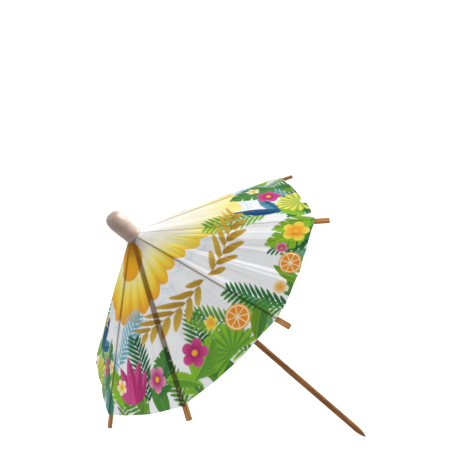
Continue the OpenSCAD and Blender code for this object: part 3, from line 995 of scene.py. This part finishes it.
def stick_surface(z, a):
    """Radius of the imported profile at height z, less shallow flutes that wander with height and
    one deeper groove, a gaussian of the angle from where it runs."""
    r = np.interp(z, rings, ring_r)
    wander = 0.8 * np.sin(60 * z) + 0.5 * np.sin(143 * z + 1)
    flute = 0.5 + 0.5 * np.sin(9 * a + wander) * np.sin(4 * a + 2 + 90 * z)
    from_groove = np.angle(np.exp(1j * (a - GROOVE_AT - 0.25 * np.sin(70 * z))))
    groove = np.exp(-((from_groove / GROOVE_WIDTH) ** 2))
    r = r * (1 - FLUTE_DEPTH * flute - GROOVE_DEPTH * groove)
    return np.stack([r * np.cos(a), r * np.sin(a), z], axis=-1)


tip_rows = np.linspace(low.z, low.z + TIP_LENGTH, TIP_ROWS)
body_rows = np.linspace(low.z + TIP_LENGTH, high.z, STICK_ROWS - TIP_ROWS)[1:]
stick_rows = np.concatenate([tip_rows, body_rows])[:, None].repeat(STICK_COLUMNS, 1)
stick_turn = np.linspace(0, 2 * math.pi, STICK_COLUMNS, endpoint=False)
stick_grid = stick_surface(stick_rows, stick_turn[None, :].repeat(len(stick_rows), 0))
ends = [np.zeros((1, STICK_COLUMNS, 3)) + [0, 0, z] for z in (low.z, high.z)]
stick = grid_piece("pick_stick", np.concatenate([ends[0], stick_grid, ends[1]]), closed=True)
print("stick with", len(stick_grid), "rings")

# %% Closed ends
TOUCHING = 1e-7


def merge_poles(piece):
    """Joins points that lie on each other, so that poles and seams are closed."""
    work = bmesh.new()
    work.from_mesh(piece.data)
    bmesh.ops.remove_doubles(work, verts=work.verts, dist=TOUCHING)
    bmesh.ops.dissolve_degenerate(work, edges=work.edges, dist=TOUCHING)
    work.to_mesh(piece.data)
    work.free()


merge_poles(stick)
stick.data.materials.append(wood_finish("pick_wood", "pick", rough=0.52))
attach(stick, "stem")
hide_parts("pick")
print("pick", round(2 * stick_r.max() / MM, 2), "mm thick,", len(stick.data.vertices), "points")

# %% [markdown]
# ## The knob
# The knob is a dip-coated or moulded cap: a full round head, a slack waist and a small rolled
# lip. Seen close it is a bit lumpy, like something dipped. It is a revolved outline whose radius
# also swells slowly with angle and height; a plain lathe shape would look machined.

# %% Knob outline
cap_low, cap_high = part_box("cap")
cap_height = cap_high.z - cap_low.z
cap_radius = np.hypot(*node_points("cap").T[:2]).max()
KNOB_COLUMNS = 96
KNOB_ROWS = 90
# Each swell's height as a share of the radius, waves round, turn along the height, and phase
KNOB_LUMPS = ((0.010, 2, 3, 1.1), (0.007, 3, -5, 0), (0.006, 5, 11, 0))
# Height and radius along the outside, as shares of the cap's height and greatest radius, and
# then along the hollow that takes the pick
KNOB_SHARES = (
    (0.000, 0.820), (0.012, 0.900), (0.040, 0.955), (0.070, 0.960), (0.100, 0.940),
    (0.150, 0.935), (0.260, 0.955), (0.400, 0.985), (0.540, 1.010), (0.650, 1.025),
    (0.730, 1.015), (0.800, 0.980), (0.860, 0.910), (0.915, 0.800), (0.958, 0.640),
    (0.985, 0.430), (0.997, 0.210), (1.000, 0.000),
)
HOLLOW_SHARES = np.array([[0.30, 0.0], [0.30, 0.38], [0.16, 0.39], [0.13, 0.44], [0.0, 0.78]])


# %% Knob from its outline
def smooth_profile(shares, count):
    """A soft curve through (height, radius) shares: each is interpolated over the length
    walked along the outline with a cubic that keeps the slope of its neighbours."""
    points = np.array(shares)
    walked = np.concatenate([[0], np.cumsum(np.hypot(*np.diff(points, axis=0).T))])
    slope = np.gradient(points, walked, axis=0)
    at = np.linspace(0, walked[-1], count)
    k = np.clip(np.searchsorted(walked, at, side="right") - 1, 0, len(walked) - 2)
    step = (walked[k + 1] - walked[k])[:, None]
    t = ((at - walked[k])[:, None]) / step
    first = (2 * t**3 - 3 * t**2 + 1) * points[k] + (t**3 - 2 * t**2 + t) * slope[k] * step
    return first + (3 * t**2 - 2 * t**3) * points[k + 1] + (t**3 - t**2) * slope[k + 1] * step


def knob_surface(shares, a):
    """Height and radius from the outline, the radius swelling by slow waves of angle and height."""
    up, out = shares[:, :1], np.clip(shares[:, 1:], 0, None)
    lump = sum(h * np.sin(waves * a + turn * up + phase) for h, waves, turn, phase in KNOB_LUMPS)
    r = out * cap_radius * (0.99 + lump * np.clip(out * 1.4, 0, 1))
    z = cap_low.z + up * cap_height
    return np.stack([r * np.cos(a), r * np.sin(a), z + 0 * a], axis=-1)


knob_a = np.linspace(0, 2 * math.pi, KNOB_COLUMNS, endpoint=False)[None, :]
outside = knob_surface(smooth_profile(KNOB_SHARES, KNOB_ROWS), knob_a)
inside = knob_surface(HOLLOW_SHARES, knob_a)
knob = grid_piece("knob", np.concatenate([inside, outside]), closed=True)
merge_poles(knob)
print("knob", round(2 * cap_radius / MM, 2), "mm thick,", len(knob.data.vertices), "points")


# %% Knob finish
TAUPES = ((0.3, *srgb(137, 117, 104)), (0.55, *srgb(153, 133, 120)), (0.75, *srgb(171, 153, 140)))
SATIN = {"Sheen Weight": 1.0, "Sheen Roughness": 0.3, "Coat Weight": 0.10, "Coat Roughness": 0.6}


def knob_finish():
    """Satin taupe coat: slow clouds of tone, faint mottling and a soft orange-peel relief."""
    material, tree, shader = new_material("knob_coat", SATIN)
    cloud = noise(tree, position(tree, 0.45), 3.0, 0.5)
    grain = noise(tree, position(tree, 3.0), 4.0, 0.6)
    mottling = ((0.3, 0.90, 0.88, 0.87), (0.6, *WHITE))
    colour = dapple(tree, ramp(tree, cloud, TAUPES), grain, mottling)
    coat(tree, shader, colour, cloud, 0.50, 0.38)
    bump(tree, shader, cloud, 0.35, 0.10 * MM)
    return material


knob.data.materials.append(knob_finish())
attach(knob, "stem")
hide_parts("cap")

# %% [markdown]
# ## Small fittings
# Binding wire, pins, the rolled sleeve and the clear ring sit under the shade, in its light. Wire
# is drawn steel, so its streaks run round the loop and are only hinted at; the sleeve is cheap
# grey-white paper; the ring is a slice of soft clear tube.


# %% Wire, sleeve and ring
STEEL = {"Metallic": 1.0}
STEEL_TONES = ((0.3, *srgb(150, 148, 146)), (0.7, *srgb(206, 204, 200)))
CLEAR = {"Transmission Weight": 0.65, "IOR": 1.45}
CLEAR_TONES = ((0.3, *srgb(226, 228, 226)), (0.7, *srgb(246, 247, 244)))
SLEEVE_TONES = ((0.3, *srgb(196, 190, 176)), (0.7, *srgb(226, 221, 209)))


def drawn_finish(name, plain, size, detail, sharp, tones, dull, shiny):
    """Drawn wire or tube: noise stretched into faint streaks tints it and varies its polish."""
    material, tree, shader = new_material(name, plain)
    streak = noise(tree, position(tree, size), detail, sharp)
    coat(tree, shader, ramp(tree, streak, tones), streak, dull, shiny)
    return material


def plain_paper_finish():
    """Unbleached strip: short fibres, a few dark flecks, quite matt."""
    material, tree, shader = new_material("sleeve_paper", {"Roughness": 0.85})
    fibres = noise(tree, position(tree, (5.0, 5.0, 1.2)), 5.0, 0.65)
    fleck = noise(tree, position(tree, 2.6), 1.0, 0.5)
    flecks = ((0.27, 0.62, 0.58, 0.52), (0.33, *WHITE))
    colour = dapple(tree, ramp(tree, fibres, SLEEVE_TONES), fleck, flecks)
    feed(tree, shader, {"Base Color": colour})
    bump(tree, shader, fibres, 0.4, 0.02 * MM)
    return material


steel = drawn_finish("binding_wire", STEEL, (6.0, 6.0, 1.5), 3.0, 0.6, STEEL_TONES, 0.42, 0.24)
for name in ["crown_wire", "runner_wire"] + [f"strut_pin_{i + 1}" for i in range(RIBS)]:
    dress(name, steel)
dress("paper_sleeve", plain_paper_finish())
clear = drawn_finish("clear_ring", CLEAR, (4.0, 4.0, 0.4), 2.0, 0.5, CLEAR_TONES, 0.26, 0.14)
dress("retaining_ring", clear)
print("wire on", RIBS + 2, "pieces, paper on the sleeve, clear plastic on the ring")

# %% [markdown]
# ## Camera
# The photo looks down on the shade from about 26 degrees above the paper's rim plane, from a
# hand's reach away, and the camera is rolled so that the pick runs down to the right. The place
# comes from fitting the outline of the shade, the rib tips, the ends of the pick and the knob.

# %% Short portrait lens, rolled
PICTURE = 460
SENSOR = 36.0
FOCAL_PIXELS = 900
CAMERA_AZIMUTH = math.radians(-105.2)
CAMERA_HEIGHT = math.radians(26.05)
CAMERA_ROLL = math.radians(-47.0)
CAMERA_DISTANCE = 224.8 * MM
AIM_HEIGHT = float(peak[2]) - 30 * MM
AIM_RIGHT = 3.7 * MM
AIM_UP = 19.1 * MM

back_way = np.array([
    math.cos(CAMERA_HEIGHT) * math.cos(CAMERA_AZIMUTH),
    math.cos(CAMERA_HEIGHT) * math.sin(CAMERA_AZIMUTH),
    math.sin(CAMERA_HEIGHT),
])
level_right = np.array([-math.sin(CAMERA_AZIMUTH), math.cos(CAMERA_AZIMUTH), 0])
level_up = np.cross(back_way, level_right)
right_way = math.cos(CAMERA_ROLL) * level_right + math.sin(CAMERA_ROLL) * level_up
up_way = np.cross(back_way, right_way)


def make_camera():
    """A camera whose axes are the three ways above, aimed past the pick's middle."""
    data = bpy.data.cameras.new("photo_camera")
    data.sensor_width = SENSOR
    data.lens = FOCAL_PIXELS * SENSOR / PICTURE
    data.clip_start = 0.01
    data.clip_end = 20
    camera = bpy.data.objects.new("photo_camera", data)
    bpy.context.scene.collection.objects.link(camera)
    aim = np.array([0, 0, AIM_HEIGHT]) + AIM_RIGHT * right_way + AIM_UP * up_way
    place = aim + CAMERA_DISTANCE * back_way
    matrix = np.eye(4)
    matrix[:3] = np.column_stack([right_way, up_way, back_way, place])
    camera.matrix_world = Matrix(matrix.tolist())
    bpy.context.scene.camera = camera
    print("lens", round(data.lens, 1), "mm")


make_camera()

# %% [markdown]
# ## Studio
# One lamp stands at the picture's upper right, a little behind the shade. It makes the far gores
# bright, rakes across the hard creases of the next one so that they show as grey and white
# bands, and leaves the near gores in an even pale shade from the world's light. A weak fill from
# the camera's side and a weak lamp at the left lift that shade, and a small spot lights the knob
# from the right. The floor is pale, and looks white to the camera through Light Path while it
# still takes the object's soft shadow.

# %% Lamps
SHADE_AT = 70 * MM
KNOB_AT = 93.5 * MM


def hang_lamp(kind, name, right, up, back, distance, target, watts, **settings):
    """A lamp at a distance from a height on the pick, in a way given by its shares of the
    picture's right, up and back; it faces that height."""
    data = bpy.data.lights.new(name, kind)
    data.energy = watts
    for key, value in settings.items():
        setattr(data, key, value)
    way = right * right_way + up * up_way + back * back_way
    lamp = bpy.data.objects.new(name, data)
    bpy.context.scene.collection.objects.link(lamp)
    lamp.location = np.array([0, 0, target]) + unit(way) * distance
    lamp.rotation_euler = Vector(-way).to_track_quat("-Z", "Y").to_euler()
    print(name, watts, "W from", distance, "m")


hang_lamp("AREA", "key", 0.58, 0.74, -0.27, 0.8, SHADE_AT, 6.2, size=0.10, color=(1.0, 0.995, 0.98))
hang_lamp("AREA", "fill", -0.30, 0.20, 0.93, 0.9, SHADE_AT, 0.8, size=0.5, color=(0.97, 0.985, 1.0))
hang_lamp("AREA", "rim", -0.85, 0.45, 0.1, 0.8, SHADE_AT, 1.2, size=0.3)
narrow = {"spot_size": math.radians(1.5), "spot_blend": 1.0, "shadow_soft_size": 0.004}
hang_lamp("SPOT", "top_spot", 0.66, 0.74, 0.12, 0.6, KNOB_AT, 31.0, **narrow)


# %% Floor
FLOOR_GLOW = 0.62
FLOOR_HALF = 2.5


def seen_white(tree, strength):
    """1 for rays from the camera, mirrors and glass, times a strength."""
    path = add(tree, "ShaderNodeLightPath").outputs
    total = path["Is Camera Ray"]
    for name in ("Is Glossy Ray", "Is Transmission Ray"):
        either = {0: total, 1: path[name]}
        total = add(tree, "ShaderNodeMath", either, operation="MAXIMUM").outputs[0]
    return add(tree, "ShaderNodeMath", {0: total, 1: strength}, operation="MULTIPLY").outputs[0]


def make_floor():
    """A wide pale plate under the point, a little lit by itself where the camera looks."""
    low_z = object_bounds()[0].z
    side = np.array([-FLOOR_HALF, FLOOR_HALF])
    x, y = np.meshgrid(side, side)
    floor = grid_piece("floor", np.stack([x, y, np.full_like(x, low_z)], axis=-1))
    matt = {"Base Color": (0.86, 0.87, 0.88, 1), "Roughness": 0.9, "Emission Color": (1, 1, 1, 1)}
    material, tree, shader = new_material("pale_floor", matt)
    feed(tree, shader, {"Emission Strength": seen_white(tree, FLOOR_GLOW)})
    floor.data.materials.append(material)
    print("floor at", round(low_z / MM, 2), "mm")


make_floor()

# %% World
WORLD_LIGHT = 0.62


def make_world():
    """White behind everything, and a plain soft light from all sides."""
    world = bpy.data.worlds.new("studio")
    world.use_nodes = True
    tree = world.node_tree
    light = tree.nodes["Background"]
    feed(tree, light, {"Color": (0.975, 0.985, 1.0, 1), "Strength": WORLD_LIGHT})
    white = add(tree, "ShaderNodeBackground", {"Color": (1, 1, 1, 1), "Strength": 1.0})
    shares = {0: seen_white(tree, 1.0), 1: light.outputs[0], 2: white.outputs[0]}
    both = add(tree, "ShaderNodeMixShader", shares)
    feed(tree, tree.nodes["World Output"], {"Surface": both.outputs[0]})
    bpy.context.scene.world = world


make_world()
bpy.context.scene.view_settings.view_transform = "Standard"
